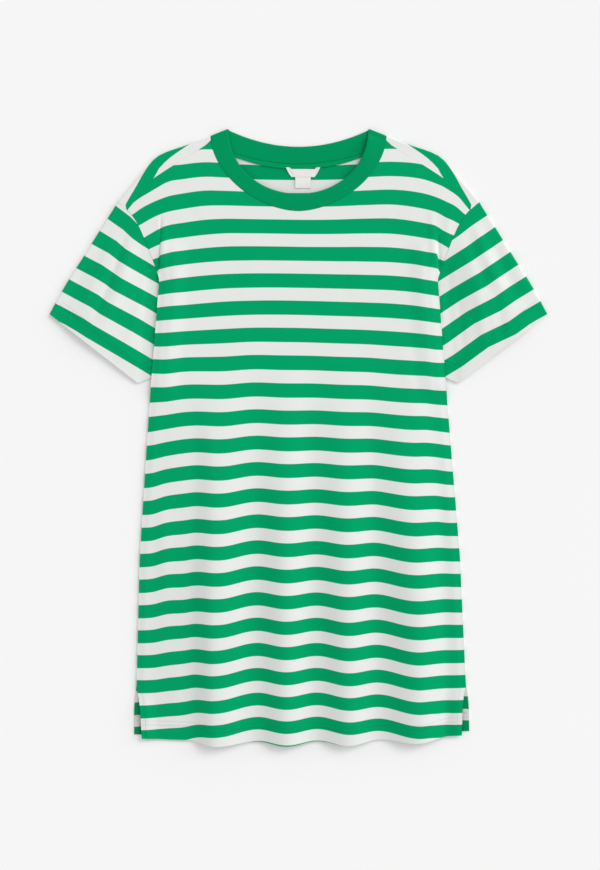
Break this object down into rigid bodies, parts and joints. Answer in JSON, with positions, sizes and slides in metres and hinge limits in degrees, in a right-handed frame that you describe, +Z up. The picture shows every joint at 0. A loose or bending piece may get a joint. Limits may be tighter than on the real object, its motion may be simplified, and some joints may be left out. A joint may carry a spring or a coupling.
{
  "type": "t-shirt dress",
  "caption": "Loose striped jersey t-shirt dress laid out flat, with a round rib neckband, short dropped sleeves and side slits at the hem.",
  "frame": {"origin": "on the surface that the dress lies on, below the middle of its outline", "axes": "+Z up out of the front, +Y from the hem towards the neck, +X towards the sleeve on the right of the picture"},
  "size_m": [0.7266, 0.898, 0.0156],
  "materials": {
    "striped_jersey": "matt single jersey, green and white stripes across",
    "green_rib": "matt rib knit",
    "green_tape": "matt jersey tape",
    "woven_label": "smooth woven, bare"
  },
  "bodies": {
    "root": {"front_panel": "striped_jersey", "back_panel": "striped_jersey", "sleeve_left": "striped_jersey", "sleeve_right": "striped_jersey", "neckband": "green_rib", "neck_tape": "green_tape", "neck_label": "woven_label", "size_tab": "woven_label"}
  },
  "joints": []
}
